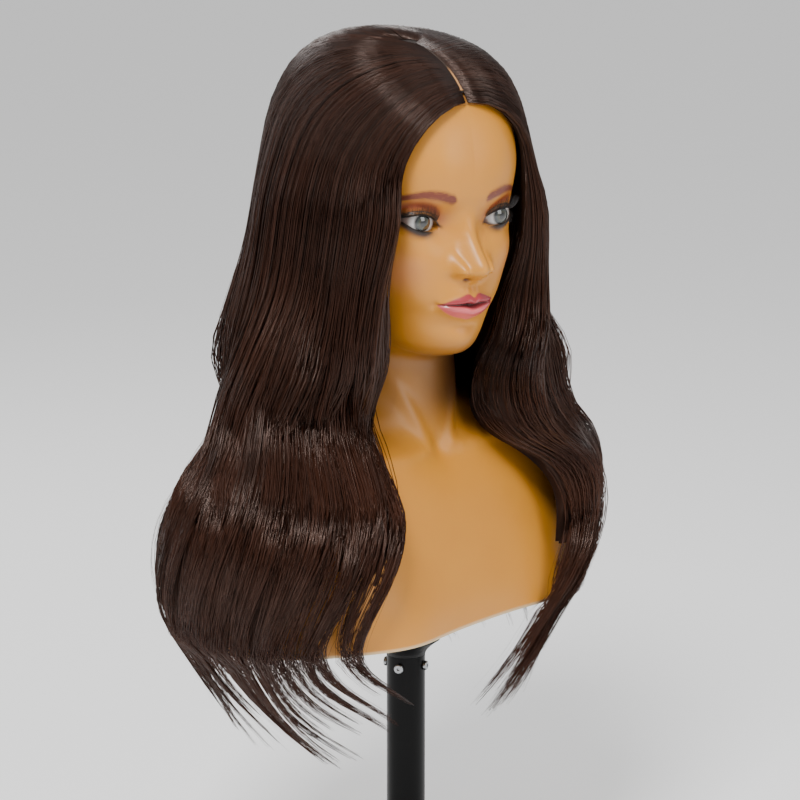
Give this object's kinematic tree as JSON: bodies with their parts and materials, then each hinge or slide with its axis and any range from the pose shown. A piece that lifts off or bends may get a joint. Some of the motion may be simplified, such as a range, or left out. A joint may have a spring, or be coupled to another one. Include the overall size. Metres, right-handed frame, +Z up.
{
  "type": "mannequin training head",
  "caption": "Head-and-shoulders mannequin with a long wavy lace-front wig on a cap, on a round-based stand with a tubular pole, height slide and swivel.",
  "frame": {"origin": "centre of the rubber pad's underside, on the pole's axis", "axes": "+Z up, -Y towards the front of the chest, +X towards the mannequin's left"},
  "size_m": [0.4116, 0.3, 0.7062],
  "materials": {
    "pad_rubber": "matte black anti-slip rubber",
    "base_black": "black powder coat",
    "screw_steel": "bright zinc",
    "pole_black": "gloss black lacquer",
    "spigot_steel": "brushed",
    "hub_black": "moulded satin black",
    "board_wood": "raw plywood",
    "skin": "satin painted skin tone",
    "eye_acrylic": "polished acrylic",
    "lash_fibre": "black fibre",
    "cap_net": "stretch net",
    "lace": "fine sheer lace",
    "part_silk": "skin-tone silk",
    "comb_steel": "dark coated",
    "weft_tape": "sewn tape",
    "band_elastic": "woven elastic",
    "hair": "glossy dark brown fibre"
  },
  "bodies": {
    "stand": {"rubber_pad": "pad_rubber", "base_plate": "base_black", "foot_flange": "base_black", "foot_flange_screws": "screw_steel", "foot_grub_screw": "screw_steel", "pole_tube": "pole_black", "lock_screws": "screw_steel"},
    "spigot": {"spigot_tube": "spigot_steel"},
    "bust": {"hub_flange": "hub_black", "hub_screws": "screw_steel", "base_board": "board_wood", "board_cleats": "board_wood", "board_screws": "screw_steel", "front_shell": "skin", "back_shell": "skin", "eye_left": "eye_acrylic", "eye_right": "eye_acrylic", "upper_lash_left": "lash_fibre", "upper_lash_right": "lash_fibre", "wig_cap": "cap_net", "lace_front": "lace", "part_strip": "part_silk", "comb_left": "comb_steel", "comb_right": "comb_steel", "comb_nape": "comb_steel", "weft_tracks": "weft_tape", "nape_band": "band_elastic", "band_hooks": "comb_steel", "hair_crown_left": "hair", "hair_crown_right": "hair", "hair_left_front": "hair", "hair_left_side": "hair", "hair_back_left": "hair", "hair_back_right": "hair", "hair_right_side": "hair", "hair_right_front": "hair"}
  },
  "joints": [
    {"name": "height_slide", "type": "slide", "parent": "stand", "child": "spigot", "axis": [0, 0, 1], "range_m": [0, 0.08]},
    {"name": "bust_swivel", "type": "hinge", "parent": "spigot", "child": "bust", "pos_m": [0, 0, 0.25], "axis": [0, 0, 1], "continuous": true}
  ]
}
